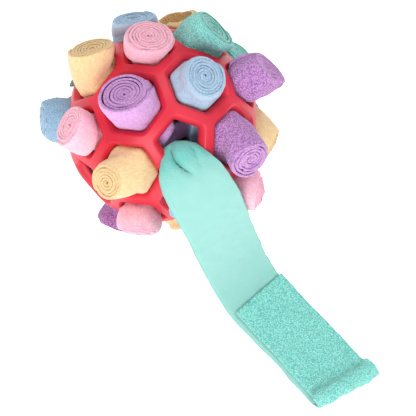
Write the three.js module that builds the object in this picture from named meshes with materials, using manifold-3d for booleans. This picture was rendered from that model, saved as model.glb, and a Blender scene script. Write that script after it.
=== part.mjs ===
// Dog snuffle ball: a hollow rubber ball with a hole in each of its faces. Fleece strips are
// threaded through the holes in pairs and each end is rolled up, except one, which is pulled out,
// laid down beside the ball and folded back on itself. Units are millimetres, +Z is up, and the
// angles in the tables are degrees, as azimuth from +X and elevation from the ground.
import * as THREE from 'three';
import { mergeVertices } from 'three/addons/utils/BufferGeometryUtils.js';
import Module from 'manifold-3d';

const wasm = await Module();
wasm.setup();

// ---- Driving dimensions ------------------------------------------------------------------------

const BALL = {
  outer: 60,          // radius over the ribs
  lipAt: 56.5,        // distance from the centre to the narrowest part of a hole
  inner: 53,          // radius of the hollow
  flatHalf: 3,        // half the width of a rib's flat top
  lipHalf: 5,         // half the width of a rib at its lips
  cornerRound: 0.93,  // how far a hole's corner reaches, as a share of the sharp corner
  centreHeight: 64,   // from the ground, with the rolls below squashed flat
  mouth: { azimuth: -71, elevation: 54 },  // the hole that the loose end comes out of
};
const EDGE_POINTS = 3;  // points along each edge of a face
const GAP = 0.35;     // air left between touching pieces
const FLEECE = 2;     // thickness of the cloth
const ROLL_SIDES = 12;
const ROOM = { width: 500, height: 200 };  // space around the object

const ROLL = {
  bevel: 1.5,         // rounding at the rim of a rolled end
  neckAt: 62,         // distance from the centre at which a roll enters its hole
  hexWaist: 15.3,     // radius inside a six-sided hole
  pentWaist: 10.3,    // radius inside a five-sided hole
  innerAt: 46.5,      // the rolled width ends here, inside the hollow
  hexInner: 11,
  pentInner: 9.6,
  flare: 1,           // how much wider than its waist a roll is where it enters
  midway: 0.45,       // where between its end and its neck a roll has its middle section
  shortest: 6,        // a roll that stands out less than this is straight
  tailAt: 38,         // from here on the strip is a gathered band
};

// A gathered band: half its width and half its thickness, how much thicker it starts, and its
// bend through the hollow, as the slope, rise and spread of the sections beside its middle.
const BAND = { half: 5.6, thick: 3.6, gathered: 1, slope: 0.5, rise: 1.2, spread: 0.25 };

const FINISH = {
  rubber: { color: 0xe8384a, roughness: 0.55, metalness: 0 },
  purple: { color: 0xb07cd2, roughness: 0.95, metalness: 0 },
  pink: { color: 0xf3a9c4, roughness: 0.95, metalness: 0 },
  blue: { color: 0xa2cbe6, roughness: 0.95, metalness: 0 },
  yellow: { color: 0xf6d795, roughness: 0.95, metalness: 0 },
  mint: { color: 0x7fdcca, roughness: 0.95, metalness: 0 },
};

// Each rolled end: the hole it stands in, how far its end stands from the ball's centre, its
// radius at the end and half way down, how far the roll leans from the hole's axis and where its
// end faces, both as degrees towards the east (a growing azimuth) and the north (the ball's top).
const ROLL_COLUMNS = ['azimuth', 'elevation', 'reach', 'radius', 'body',
  'leanEast', 'leanNorth', 'faceEast', 'faceNorth'];
const ROLLS = {
  purple_top: [-151, 68, 75, 14.5, 15.5, -0.6, 1.5, -23.5, 22],
  purple_front: [-28, 33, 76, 12.6, 14.5, -8.2, -1.5, -28, -6.5],
  blue_top: [8, 69, 73, 12.6, 14.6, -2.8, 1.5, -7.3, -8.5],
  blue_under_strip: [-71, 17, 65, 14.4, 14.4, -3, -2, 0, 0],
  pink_top: [109, 62, 73, 14.1, 14.5, -0.8, 5.4, -13, 8],
  pink_left: [-159, 31, 72, 11.8, 14, -2.5, 3.4, -22, 11],
  pink_low: [-103, -4, 70, 12.4, 13.6, 1.2, 2.7, 7.4, -10],
  pink_right: [-39, -3, 73, 11.9, 13.5, 1.4, 2.6, 26, 3],
  yellow_front: [-114, 32, 74, 9.6, 14, -5.9, -1, -16.1, 14.9],
  yellow_left: [156, 38, 75, 12.9, 14.5, -4.7, 11.5, -30, 19.1],
  purple_right: [17, 32, 78, 12.7, 14, 1.9, -4, 14.8, 5.2],
  purple_right_low: [21, -31, 73, 12.4, 13, 2, 0, 6, 2],
  mint_back: [62, 38, 74, 12.8, 14.5, -7, 8, -23.6, 3.2],
  mint_right: [40, 2, 69, 11.5, 13.5, 10, 1, 20, 22],
  mint_left: [141, 3, 66, 12.5, 13.5, 6, 3, 5, 8],
  mint_left_low: [-163, -32, 65.5, 12.5, 13, -2, 2, -4, 6],
  blue_back: [109, 25, 70.5, 13, 14.5, 0.3, 15, -5.7, 21.8],
  blue_back_low: [109, -17, 72, 13.6, 14.5, 0, 0, 8, 0],
  blue_left: [178, 1, 75, 11.8, 14.5, -2.5, -5.2, 11.6, 6.1],
  blue_left_low: [152, -33, 72, 13, 14, 3, 0, 6, 5],
  yellow_back: [77, 4, 72, 13.2, 14, 5.5, 5, 20, 22],
  yellow_back_low: [66, -32, 72, 13, 14, -2, 0, -6, 5],
  purple_low: [-140, -2, 55.5, 13.6, 13.6, 0, 0, 0, 0],
  purple_low_left: [-118, -38, 67.5, 11.4, 13.6, -6.8, 8, -12, 9],
  yellow_low: [-71, -25, 63.5, 13.2, 13.8, 0, 2, 3, -2],
  yellow_base_front: [-71, -62, 73, 12.5, 12.5, 0, 0, 0, -28],
  yellow_side: [-2, -1, 70.5, 11.6, 14, -5, -9, -25, -2],
  yellow_side_low: [-24, -38, 71, 13, 14, 2, 1, 5, 4],
  pink_base_left: [-172, -69, 69, 14.5, 14.5, 0, 0, 0, -21],
  pink_base_right: [29, -68, 69.5, 14.5, 14.5, 0, 0, 0, -22],
  mint_base_back: [109, -54, 73, 12.5, 12.5, 0, 0, 0, -30],
};

// Each strip that has both ends rolled, how near the centre its middle passes, and how far it is
// pushed sideways there.
const STRIP_COLUMNS = ['colour', 'first', 'second', 'middleAt', 'aside'];
const STRIPS = {
  strip_purple_1: ['purple', 'purple_top', 'purple_front', 20, 2],
  strip_purple_2: ['purple', 'purple_right', 'purple_right_low', 31, 0],
  strip_purple_3: ['purple', 'purple_low', 'purple_low_left', 33, 0],
  strip_blue_1: ['blue', 'blue_top', 'blue_under_strip', 41, 4],
  strip_blue_2: ['blue', 'blue_back', 'blue_back_low', 33, 0],
  strip_blue_3: ['blue', 'blue_left', 'blue_left_low', 33, 0],
  strip_pink_1: ['pink', 'pink_top', 'pink_left', 36, 0],
  strip_pink_2: ['pink', 'pink_low', 'pink_right', 33, 0],
  strip_pink_3: ['pink', 'pink_base_left', 'pink_base_right', 33, 0],
  strip_yellow_1: ['yellow', 'yellow_front', 'yellow_left', 20, 0],
  strip_yellow_2: ['yellow', 'yellow_back', 'yellow_back_low', 33, 0],
  strip_yellow_3: ['yellow', 'yellow_low', 'yellow_base_front', 33, 0],
  strip_yellow_4: ['yellow', 'yellow_side', 'yellow_side_low', 33, 0],
  strip_mint_1: ['mint', 'mint_back', 'mint_right', 33, 0],
  strip_mint_2: ['mint', 'mint_left', 'mint_left_low', 22, 0],
};

// The loose end, from inside the mouth down to the ground: the middle of the cloth, the way it
// heads, half its width, half its thickness and how much its middle is crowned.
const LOOSE_COLUMNS = ['x', 'y', 'z', 'heading', 'half', 'thick', 'crown'];
const LOOSE_END = [
  [0.5, -4, 56, -71, 5.6, 3.6, 0],
  [5, -18, 72, -71, 5.6, 3.6, 0],
  [7.6, -26.4, 88, -71, 6, 3.4, 0],
  [8.2, -30.6, 98, -69.5, 6.4, 2.8, 1],
  [9.4, -33, 103.6, -67.5, 8.2, 2.2, 1.8],
  [10.9, -39, 106, -65.5, 12, 1.7, 2],
  [13.6, -46, 105.6, -63.5, 16.5, 1.2, 1.6],
  [18, -52.8, 101.9, -60.8, 19, 1, 1],
  [23.2, -59.2, 94.7, -57.8, 20.3, 1, 0.6],
  [28.5, -63.8, 84, -54.8, 20.5, 1, 0.4],
  [33.1, -68.1, 69, -52.8, 20.5, 1, 0.2],
  [38.1, -72.1, 52, -50.8, 20.5, 1, 0],
  [43.8, -76.5, 34, -49.4, 20.5, 1, 0],
  [49.4, -81.3, 18, -48.4, 20.5, 1, 0],
  [54.7, -86.4, 7.5, -48.4, 20.5, 1, 0],
];

// Where it lies: how far along from the touchdown point, the height of the middle of the cloth,
// half its width, its shift to the left of its heading and how far its left edge runs ahead.
const LAID = { x: 59.2, y: -90.6, heading: -48.4 };
const LAID_COLUMNS = ['along', 'z', 'half', 'shift', 'lead'];
const LAID_END = [
  [0, 2.4, 20.5, 0, 0],
  [8, 1, 20.5, 0, 0],
  [45, 1, 20.5, 0, 0],
  [70, 1, 20.8, 0, 2],
  [78, 1.1, 21, 0, 4],
  [82.6, 2.8, 21, 0, 5.5],
  [84.2, 6, 21, 0, 5.5],
  [82.8, 9.2, 20.8, 0.2, 5],
  [79.4, 10.8, 20.5, 0.4, 4.5],
  [75.8, 9.8, 20, 0.6, 4],
  [73, 7.2, 20, 0.8, 3.5],
  [69.6, 4.8, 20, 1, 3],
  [64, 3.8, 19.8, 1.2, 2],
  [45, 3.7, 19.5, 1.4, 0],
  [20, 3.7, 19.5, 1.7, 0],
  [8, 3.8, 19.5, 1.9, 0],
  [1, 5, 19.5, 2, 0],
];
const LOOSE_ROLL = 'mint_base_back';  // the loose strip's other end

// ---- Directions and holes ----------------------------------------------------------------------

const rad = THREE.MathUtils.degToRad;
const centre = new THREE.Vector3(0, 0, BALL.centreHeight);

function direction(azimuth, elevation) {
  const [a, e] = [rad(azimuth), rad(elevation)];
  return new THREE.Vector3(Math.cos(e) * Math.cos(a), Math.cos(e) * Math.sin(a), Math.sin(e));
}

// The direction that lies so many degrees to the east and north of another.
function lean(from, azimuth, eastward, northward) {
  const east = direction(azimuth + 90, 0);
  const north = from.clone().cross(east);
  const turn = east.multiplyScalar(eastward).add(north.multiplyScalar(northward));
  const angle = turn.length();
  if (angle === 0) return from.clone();
  return from.clone().multiplyScalar(Math.cos(rad(angle)))
    .add(turn.multiplyScalar(Math.sin(rad(angle)) / angle));
}

// The twelve five-sided faces lie where an icosahedron has its corners, one of them at the mouth.
function pentagonCentres() {
  const ringHeight = 1 / Math.sqrt(5);
  const points = [new THREE.Vector3(0, 0, 1), new THREE.Vector3(0, 0, -1)];
  for (let i = 0; i < 5; i++) {
    for (const side of [1, -1]) {
      const angle = rad(72 * i + (side > 0 ? 180 : 0));
      const reach = 2 * ringHeight;
      points.push(new THREE.Vector3(reach * Math.cos(angle), reach * Math.sin(angle),
        side * ringHeight));
    }
  }
  const tilt = new THREE.Matrix4().makeRotationZ(rad(BALL.mouth.azimuth))
    .multiply(new THREE.Matrix4().makeRotationY(rad(90 - BALL.mouth.elevation)));
  return points.map((point) => point.applyMatrix4(tilt));
}

function faceAround(axis, corners) {
  const side = corners[0].clone().addScaledVector(axis, -corners[0].dot(axis)).normalize();
  const across = axis.clone().cross(side);
  const angle = (p) => Math.atan2(p.dot(across), p.dot(side));
  return { axis, corners: corners.sort((p, q) => angle(p) - angle(q)) };
}

// The ball's 32 faces: a corner of the pattern lies a third of the way along each icosahedron edge.
function ballFaces() {
  const tops = pentagonCentres();
  const edgeLength = 4 / Math.sqrt(10 + 2 * Math.sqrt(5));
  const near = (p, q) => p !== q && p.distanceTo(q) < 1.1 * edgeLength;
  const third = (p, q) => p.clone().lerp(q, 1 / 3);
  const faces = tops.map((p) => faceAround(p,
    tops.filter((q) => near(p, q)).map((q) => third(p, q))));
  tops.forEach((a, i) => tops.slice(i + 1).forEach((b, j) => {
    tops.slice(i + j + 2).filter((c) => near(a, b) && near(b, c) && near(a, c)).forEach((c) => {
      const axis = a.clone().add(b).add(c).normalize();
      const corners = [[a, b], [b, a], [b, c], [c, b], [c, a], [a, c]].map(([p, q]) => third(p, q));
      faces.push(faceAround(axis, corners));
    });
  }));
  return faces;
}

const FACES = ballFaces();

function holeNearest(azimuth, elevation) {
  const wanted = direction(azimuth, elevation);
  return FACES.reduce((best, face) => (face.axis.dot(wanted) > best.axis.dot(wanted) ? face : best));
}

// ---- Meshes and solids -------------------------------------------------------------------------

function geometryOf(points, triangles) {
  const geometry = new THREE.BufferGeometry();
  geometry.setAttribute('position',
    new THREE.Float32BufferAttribute(points.flatMap((p) => [p.x, p.y, p.z]), 3));
  geometry.setIndex(triangles.flat());
  return mergeVertices(geometry, 1e-3);
}

function solidOf(geometry) {
  return new wasm.Manifold(new wasm.Mesh({
    numProp: 3,
    vertProperties: geometry.getAttribute('position').array,
    triVerts: Uint32Array.from(geometry.getIndex().array),
  }));
}

function geometryFrom(solid) {
  const mesh = solid.getMesh();
  const geometry = new THREE.BufferGeometry();
  geometry.setAttribute('position', new THREE.BufferAttribute(mesh.vertProperties, 3));
  geometry.setIndex(new THREE.BufferAttribute(mesh.triVerts, 1));
  return geometry;
}

// Skin through closed rings of points, each end closed with a fan.
function loft(rings) {
  const count = rings[0].length;
  const points = rings.flat();
  const triangles = [];
  for (let r = 0; r + 1 < rings.length; r++) {
    for (let k = 0; k < count; k++) {
      const [a, b] = [r * count + k, r * count + (k + 1) % count];
      triangles.push([a, b, b + count], [a, b + count, a + count]);
    }
  }
  [0, rings.length - 1].forEach((r) => {
    const middle = rings[r].reduce((sum, p) => sum.add(p), new THREE.Vector3());
    const hub = points.push(middle.divideScalar(count)) - 1;
    for (let k = 0; k < count; k++) {
      const [a, b] = [r * count + k, r * count + (k + 1) % count];
      triangles.push(r === 0 ? [hub, b, a] : [hub, a, b]);
    }
  });
  return geometryOf(points, triangles);
}

// ---- The rubber ball ---------------------------------------------------------------------------

// Each face is a hole with a sloping wall out to the ribs' flat tops and a straight wall inside.
function ballGeometry(grow) {
  const points = [];
  const triangles = [];
  const rings = [
    { radius: BALL.outer + grow, inset: 0 },
    { radius: BALL.outer + grow, inset: BALL.flatHalf + grow },
    { radius: BALL.lipAt, inset: BALL.lipHalf + grow },
    { radius: BALL.inner - grow, inset: BALL.lipHalf + grow },
    { radius: BALL.inner - grow, inset: 0 },
  ];
  for (const { axis, corners } of FACES) {
    const edge = [];
    corners.forEach((corner, i) => {
      const next = corners[(i + 1) % corners.length];
      for (let k = 0; k < EDGE_POINTS; k++) {
        const point = corner.clone().lerp(next, k / EDGE_POINTS);
        edge.push({ point: point.normalize(), atCorner: k === 0 });
      }
    });
    const middle = corners[0].clone().add(corners[1]).normalize();
    const apothem = Math.tan(middle.angleTo(axis));
    const start = points.length;
    for (const { radius, inset } of rings) {
      const open = 1 - inset / (radius * apothem * middle.dot(axis));
      for (const { point, atCorner } of edge) {
        const flat = point.clone().divideScalar(point.dot(axis)).sub(axis);
        flat.multiplyScalar(inset > 0 && atCorner ? open * BALL.cornerRound : open);
        points.push(flat.add(axis).normalize().multiplyScalar(radius).add(centre));
      }
    }
    for (let r = 0; r + 1 < rings.length; r++) {
      for (let k = 0; k < edge.length; k++) {
        const a = start + r * edge.length + k;
        const b = start + r * edge.length + (k + 1) % edge.length;
        triangles.push([a, b, b + edge.length], [a, b + edge.length, a + edge.length]);
      }
    }
  }
  return geometryOf(points, triangles);
}

// ---- The fleece strips -------------------------------------------------------------------------

function rowOf(columns, row) {
  return Object.fromEntries(columns.map((name, i) => [name, row[i]]));
}

// Rings of an oval section, square to the way it heads and turned so that they don't twist.
function ovalRing({ at, facing, wide, thick, across }) {
  const u = across.clone().addScaledVector(facing, -across.dot(facing)).normalize();
  const v = facing.clone().cross(u);
  return Array.from({ length: ROLL_SIDES }, (_, k) => {
    const angle = (2 * Math.PI * k) / ROLL_SIDES;
    return at.clone().addScaledVector(u, wide * Math.cos(angle))
      .addScaledVector(v, thick * Math.sin(angle));
  });
}

// The sections of one rolled end, from its outer face in to the gathered band.
function rollSections(name, across) {
  const row = rowOf(ROLL_COLUMNS, ROLLS[name]);
  const hole = holeNearest(row.azimuth, row.elevation);
  const isPentagon = hole.corners.length === 5;
  const waist = isPentagon ? ROLL.pentWaist : ROLL.hexWaist;
  const throat = (waist * BALL.inner) / BALL.lipAt;
  const mouth = Math.min(waist + ROLL.flare, row.body);
  const inner = isPentagon ? ROLL.pentInner : ROLL.hexInner;
  const axis = hole.axis;
  const out = lean(axis, row.azimuth, row.leanEast, row.leanNorth);
  const face = lean(axis, row.azimuth, row.faceEast, row.faceNorth);
  const end = out.clone().multiplyScalar(row.reach);
  const neck = axis.clone().multiplyScalar(ROLL.neckAt);
  const onAxis = (radius) => axis.clone().multiplyScalar(radius);
  const section = (at, facing, wide, thick) => (
    { at: at.clone().add(centre), facing: facing.clone().negate().normalize(), wide, thick, across });
  const halfway = end.clone().lerp(neck, ROLL.midway);
  const sections = [
    section(end, face, row.radius - ROLL.bevel, row.radius - ROLL.bevel),
    section(end.clone().addScaledVector(face, -ROLL.bevel), face, row.radius, row.radius),
  ];
  if (row.reach > ROLL.neckAt + ROLL.shortest) {
    const bend = face.clone().add(axis);
    sections.push(section(halfway, bend, row.body, row.body));
    sections.push(section(neck, axis, mouth, mouth));
  }
  if (row.reach > BALL.lipAt + ROLL.bevel) {
    sections.push(section(onAxis(BALL.lipAt), axis, waist, waist));
  }
  sections.push(section(onAxis(BALL.inner), axis, throat, throat));
  sections.push(section(onAxis(ROLL.innerAt), axis, inner, inner));
  sections.push(section(onAxis(ROLL.tailAt), axis, BAND.half, BAND.thick + BAND.gathered));
  return sections;
}

function stripSections(strip) {
  const holes = [strip.first, strip.second].map((name) => {
    const row = rowOf(ROLL_COLUMNS, ROLLS[name]);
    return holeNearest(row.azimuth, row.elevation).axis;
  });
  const across = holes[0].clone().cross(holes[1]).normalize();
  const first = rollSections(strip.first, across);
  const second = rollSections(strip.second, across).reverse()
    .map((section) => ({ ...section, facing: section.facing.clone().negate() }));
  const middle = holes[0].clone().add(holes[1]).normalize();
  const along = holes[1].clone().sub(holes[0]).normalize();
  const pass = [-1, 0, 1].map((step) => {
    const slope = middle.clone().multiplyScalar(step * BAND.slope);
    const arc = strip.middleAt * holes[0].angleTo(holes[1]);
    const at = middle.clone().multiplyScalar(strip.middleAt + Math.abs(step) * BAND.rise)
      .addScaledVector(along, step * arc * BAND.spread)
      .addScaledVector(across, strip.aside);
    return { at: at.add(centre), facing: along.clone().add(slope).normalize(),
      wide: BAND.half, thick: BAND.thick, across };
  });
  return [...first, ...pass, ...second];
}

// A block that stands on the ground: what reaches below it is squashed flat.
function roomAboveGround() {
  const box = new THREE.BoxGeometry(ROOM.width, ROOM.width, ROOM.height);
  box.translate(0, 0, ROOM.height / 2);
  box.deleteAttribute('normal');
  box.deleteAttribute('uv');
  return solidOf(mergeVertices(box));
}

const ballSolid = solidOf(ballGeometry(0));
const clothRoom = roomAboveGround().subtract(solidOf(ballGeometry(GAP)));

// Rings of a flat section: its upper points run one way and its lower points run back.
function sheetRing({ at, facing, across, half, thick, crown, lead }) {
  const up = facing.clone().cross(across).normalize();
  const perSide = ROLL_SIDES / 2;
  const forward = new THREE.Vector3(across.y, -across.x, 0);
  return Array.from({ length: ROLL_SIDES }, (_, k) => {
    const upper = k < perSide;
    const share = 1 - (2 * (upper ? k : ROLL_SIDES - 1 - k)) / (perSide - 1);
    const height = crown * (1 - share * share) + (upper ? thick : -thick);
    return at.clone().addScaledVector(across, half * share).addScaledVector(up, height)
      .addScaledVector(forward, lead * share);
  });
}

function looseSections() {
  const hanging = LOOSE_END.map((values) => {
    const row = rowOf(LOOSE_COLUMNS, values);
    return { ...row, at: new THREE.Vector3(row.x, row.y, row.z), lead: 0 };
  });
  const ahead = direction(LAID.heading, 0);
  const left = direction(LAID.heading + 90, 0);
  const laid = LAID_END.map((values) => {
    const row = rowOf(LAID_COLUMNS, values);
    const at = new THREE.Vector3(LAID.x, LAID.y, row.z)
      .addScaledVector(ahead, row.along).addScaledVector(left, row.shift);
    return { ...row, at, heading: LAID.heading, thick: FLEECE / 2, crown: 0 };
  });
  const sections = [...hanging, ...laid];
  sections.forEach((section, i) => {
    const before = sections[Math.max(i - 1, 0)].at;
    const after = sections[Math.min(i + 1, sections.length - 1)].at;
    section.facing = after.clone().sub(before).normalize();
    section.across = direction(section.heading + 90, 0);
  });
  return sections;
}

function looseStrip() {
  const across = direction(BALL.mouth.azimuth + 90, 0);
  const roll = rollSections(LOOSE_ROLL, across);
  const rings = [...roll.map(ovalRing), ...looseSections().map(sheetRing)];
  return solidOf(loft(rings)).intersect(clothRoom);
}

function rolledStrip(strip) {
  return solidOf(loft(stripSections(strip).map(ovalRing))).intersect(clothRoom);
}

// ---- The object --------------------------------------------------------------------------------

function meshOf(name, geometry, finish) {
  const mesh = new THREE.Mesh(geometry, new THREE.MeshStandardMaterial(FINISH[finish]));
  mesh.name = name;
  return mesh;
}

const snuffleBall = new THREE.Group();
snuffleBall.add(meshOf('rubber_ball', geometryFrom(ballSolid), 'rubber'));
for (const [name, values] of Object.entries(STRIPS)) {
  const strip = rowOf(STRIP_COLUMNS, values);
  snuffleBall.add(meshOf(name, geometryFrom(rolledStrip(strip)), strip.colour));
}
snuffleBall.add(meshOf('strip_mint_3', geometryFrom(looseStrip()), 'mint'));

// The origin is on the ground, in the middle of all that the object covers.
const middle = new THREE.Box3().setFromObject(snuffleBall).getCenter(new THREE.Vector3());
snuffleBall.position.set(-middle.x, -middle.y, 0);

export default snuffleBall;
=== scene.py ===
"""Dog snuffle ball: a rubber ball with fleece strips wound up in its holes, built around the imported
frame. Sizes are in millimetres until a mesh is made, and measured from the ball's centre."""

import math

import bpy
import numpy as np
from mathutils import Matrix, Vector


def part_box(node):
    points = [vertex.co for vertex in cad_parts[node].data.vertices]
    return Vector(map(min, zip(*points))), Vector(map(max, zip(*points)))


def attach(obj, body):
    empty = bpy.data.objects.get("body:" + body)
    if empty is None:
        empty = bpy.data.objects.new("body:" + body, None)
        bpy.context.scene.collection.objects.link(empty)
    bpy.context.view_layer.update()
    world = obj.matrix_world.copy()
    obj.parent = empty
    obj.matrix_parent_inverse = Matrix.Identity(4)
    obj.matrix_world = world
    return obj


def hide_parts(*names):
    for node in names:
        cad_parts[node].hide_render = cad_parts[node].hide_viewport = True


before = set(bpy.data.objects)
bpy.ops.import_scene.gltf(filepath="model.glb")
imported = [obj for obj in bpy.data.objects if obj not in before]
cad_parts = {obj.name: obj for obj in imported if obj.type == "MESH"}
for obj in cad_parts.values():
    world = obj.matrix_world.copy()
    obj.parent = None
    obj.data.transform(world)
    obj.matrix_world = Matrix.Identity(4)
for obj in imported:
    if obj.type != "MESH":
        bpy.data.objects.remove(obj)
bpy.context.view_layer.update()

MM = 0.001
ball_low, ball_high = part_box("rubber_ball")
CENTRE = (ball_low + ball_high) / 2
GROUND = -CENTRE.z / MM  # the ground's height, measured from the ball's centre
LOWEST = GROUND + 0.05  # the cloth lies just above it

# ---- The ball and its holes ----------------------------------------------------------------------

BALL_RADIUS = (ball_high.z - ball_low.z) / 2 / MM
WALL = 7.0  # from the ribs' tops to the hollow
LIP_DEPTH = 3.5  # from the ribs' tops to the narrowest part of a hole
FLAT_HALF = 2.9  # half the width of a rib's flat top
LIP_HALF = 5.0  # half the width of a rib at its lips
EDGE_ROUND = 1.1  # the flat top's rounded border
FLATTER = 0.93  # a flat face's middle lies at about this share of the ball's radius
MOUTH = (-71, 54)  # azimuth and elevation of the hole that the loose strip comes out of


def direction(azimuth, elevation):
    a, e = math.radians(azimuth), math.radians(elevation)
    return np.array([math.cos(e) * math.cos(a), math.cos(e) * math.sin(a), math.sin(e)])


def unit(v):
    return v / np.linalg.norm(v, axis=-1, keepdims=True)


def lean(axis, azimuth, east, north):
    """The direction so many degrees to the east and north of an axis."""
    eastward = direction(azimuth + 90, 0)
    northward = np.cross(axis, eastward)
    turn = eastward * east + northward * north
    angle = np.linalg.norm(turn)
    if angle == 0:
        return axis.copy()
    a = math.radians(angle)
    return axis * math.cos(a) + turn / angle * math.sin(a)


def ball_turn():
    """Turns the pattern of holes so that a five-sided one faces the mouth's direction."""
    azimuth, elevation = MOUTH
    return (Matrix.Rotation(math.radians(azimuth), 3, "Z")
            @ Matrix.Rotation(math.radians(90 - elevation), 3, "Y")
            @ Matrix.Rotation(math.pi, 3, "Z"))


def hole_axes():
    """The directions of the 12 five-sided holes and then of the 20 six-sided ones."""
    low = 1 / math.sqrt(5)
    ring = [(2 * low * math.cos(math.radians(72 * i)), 2 * low * math.sin(math.radians(72 * i)), low)
            for i in range(5)]
    tops = [(0, 0, 1), *ring]
    tops += [(-x, -y, -z) for x, y, z in tops]
    five = np.array(tops) @ np.array(ball_turn()).T
    near = five @ five.T > 0.4  # neighbours, whose product is 0.447
    six = [unit(five[i] + five[j] + five[k]) for i in range(12) for j in range(i) for k in range(j)
           if near[i, j] and near[j, k] and near[i, k]]
    return five, np.array(six)


FIVE, SIX = hole_axes()


def hole_at(azimuth, elevation):
    """The nearest hole's axis, its number of sides and the direction from it towards a corner."""
    wanted = direction(azimuth, elevation)
    axes = np.vstack([FIVE, SIX])
    axis = axes[int(np.argmax(axes @ wanted))]
    is_five = float((FIVE @ axis).max()) > 0.999
    others = SIX if is_five else FIVE
    nearest = others[np.argsort(-(others @ axis))[0]]
    side = unit(nearest - axis * (nearest @ axis))  # the middle of an edge
    sides = 5 if is_five else 6
    across = np.cross(axis, side)
    corner = side * math.cos(math.pi / sides) + across * math.sin(math.pi / sides)
    return axis, sides, corner


# ---- Meshes --------------------------------------------------------------------------------------

def deselect():
    if bpy.context.object and bpy.context.object.mode != "OBJECT":
        bpy.ops.object.mode_set(mode="OBJECT")
    bpy.ops.object.select_all(action="DESELECT")


def mesh_piece(name, rings, pile, weave):
    """A closed tube through rings of points, given in millimetres from the ball's centre."""
    stations, around, _ = rings.shape
    points = rings.reshape(-1, 3) * MM + np.array(CENTRE)
    i, j = np.meshgrid(np.arange(stations - 1), np.arange(around), indexing="ij")
    a, b = i * around + j, i * around + (j + 1) % around
    quads = np.stack([a, b, b + around, a + around], -1).reshape(-1, 4)
    mesh = bpy.data.meshes.new(name)
    caps = [list(range(around))[::-1], list(range((stations - 1) * around, stations * around))]
    mesh.from_pydata(points.tolist(), [], quads.tolist() + caps)
    mesh.polygons.foreach_set("use_smooth", np.ones(len(mesh.polygons), bool))
    layer = mesh.attributes.new("pile", "FLOAT", "POINT")
    layer.data.foreach_set("value", pile.reshape(-1).astype(np.float32))
    layer = mesh.attributes.new("weave", "FLOAT_VECTOR", "POINT")
    layer.data.foreach_set("vector", (weave * MM).reshape(-1).astype(np.float32))
    mesh.update()
    piece = bpy.data.objects.new(name, mesh)
    bpy.context.scene.collection.objects.link(piece)
    return piece


def signed_volume(mesh):
    """Six times the room inside a closed mesh, below 0 where its faces point inwards."""
    mesh.calc_loop_triangles()
    co = np.zeros(len(mesh.vertices) * 3)
    tri = np.zeros(len(mesh.loop_triangles) * 3, int)
    mesh.vertices.foreach_get("co", co)
    mesh.loop_triangles.foreach_get("vertices", tri)
    a, b, c = (co.reshape(-1, 3)[tri.reshape(-1, 3)[:, k]] for k in range(3))
    return float((a * np.cross(b, c)).sum())


def smooth_noise(rng, shape, passes=1):
    """Random bumps over a grid, larger with more passes, with a spread of about 1."""
    bumps = rng.normal(size=shape)
    for _ in range(passes):
        bumps = (np.roll(bumps, 1, 1) + 2 * bumps + np.roll(bumps, -1, 1)) / 4
        middle = (bumps[:-2] + 2 * bumps[1:-1] + bumps[2:]) / 4
        bumps = np.vstack([bumps[:1], middle, bumps[-1:]])
    return bumps / bumps.std()


def ease(x):
    """0 below 0, 1 above 1 and smooth between them."""
    x = np.clip(x, 0, 1)
    return x * x * (3 - 2 * x)


# ---- The rubber ball -----------------------------------------------------------------------------

def rubber_ball():
    """A truncated icosahedron whose faces are inset and removed, blown up to a sphere."""
    deselect()
    bpy.ops.mesh.primitive_ico_sphere_add(subdivisions=1, radius=BALL_RADIUS * MM)
    ball = bpy.context.object
    ball.name = ball.data.name = "rubber_shell"
    bpy.ops.object.mode_set(mode="EDIT")
    bpy.ops.mesh.select_all(action="SELECT")
    bpy.ops.mesh.bevel(offset_type="PERCENT", offset_pct=100 / 3, affect="VERTICES")
    bpy.ops.mesh.select_all(action="SELECT")
    bpy.ops.mesh.subdivide(number_cuts=3)
    for thickness in (FLAT_HALF - EDGE_ROUND, EDGE_ROUND, LIP_HALF - FLAT_HALF):
        bpy.ops.mesh.inset(thickness=thickness * FLATTER * MM, use_individual=True)
    bpy.ops.mesh.delete(type="FACE")
    bpy.ops.mesh.select_all(action="SELECT")
    bpy.ops.transform.tosphere(value=1)
    bpy.ops.object.mode_set(mode="OBJECT")
    reached = ball.data.vertices[0].co.length
    ball.scale = (BALL_RADIUS * MM / reached,) * 3
    bpy.ops.object.transform_apply(location=False, rotation=False, scale=True)

    # The wall, and then the holes' edges, which slope down to the lips.
    wall = ball.modifiers.new("wall", "SOLIDIFY")
    wall.thickness, wall.offset = WALL * MM, -1
    bpy.ops.object.modifier_apply(modifier=wall.name)
    mesh = ball.data
    walls = [f for f in mesh.polygons if abs(f.normal.dot(f.center.normalized())) < 0.5]
    outside = (BALL_RADIUS - 1) * MM
    lips = {i for f in walls for i in f.vertices if mesh.vertices[i].co.length > outside}
    bpy.ops.object.mode_set(mode="EDIT")
    bpy.ops.mesh.select_mode(type="VERT")
    bpy.ops.mesh.select_all(action="DESELECT")
    bpy.ops.object.mode_set(mode="OBJECT")
    for i in lips:
        mesh.vertices[i].select = True
    bpy.ops.object.mode_set(mode="EDIT")
    share = (BALL_RADIUS - LIP_DEPTH) / BALL_RADIUS
    bpy.ops.transform.resize(value=(share,) * 3, center_override=(0, 0, 0))
    bpy.ops.object.mode_set(mode="OBJECT")
    round_off = ball.modifiers.new("round_off", "SUBSURF")
    round_off.levels = round_off.render_levels = 2
    bpy.ops.object.modifier_apply(modifier=round_off.name)
    ball.data.transform(Matrix.Translation(CENTRE) @ ball_turn().to_4x4())
    bpy.ops.object.shade_smooth()
    return ball


# ---- Rolled ends ---------------------------------------------------------------------------------

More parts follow.
